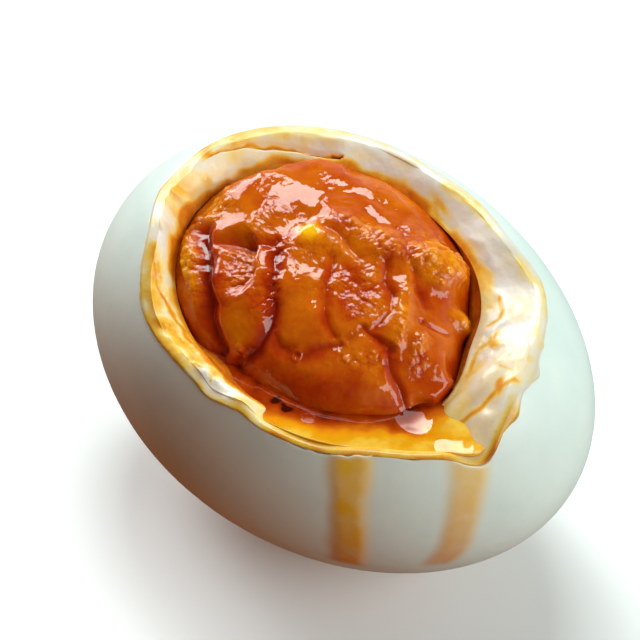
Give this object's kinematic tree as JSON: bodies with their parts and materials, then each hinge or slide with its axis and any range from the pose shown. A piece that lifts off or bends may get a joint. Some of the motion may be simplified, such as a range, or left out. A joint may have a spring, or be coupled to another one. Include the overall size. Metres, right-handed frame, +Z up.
{
  "type": "salted duck egg",
  "caption": "Whole salted duck egg in its pale blue-green shell, lying on its side, the top broken away over cream white and an oily orange yolk",
  "frame": {"origin": "middle of the egg's underside, on the small flat spot that it rests on", "axes": "+X along the egg's long axis, from the blunt end to the pointed one; +Y away from the side that the opening leans to; +Z up"},
  "size_m": [0.064, 0.0466, 0.0426],
  "materials": {
    "shell": "pale blue-green eggshell, satin, stained amber where oil ran down",
    "white": "salt-cured egg white, cream, wet and torn, stained yellow-orange",
    "yolk": "salt-cured yolk, orange, wet and glossy, cloven and crumbly",
    "oil": "clear orange yolk oil, glossy"
  },
  "bodies": {
    "root": {"shell": "shell", "white": "white", "yolk": "yolk", "oil": "oil"}
  },
  "joints": []
}
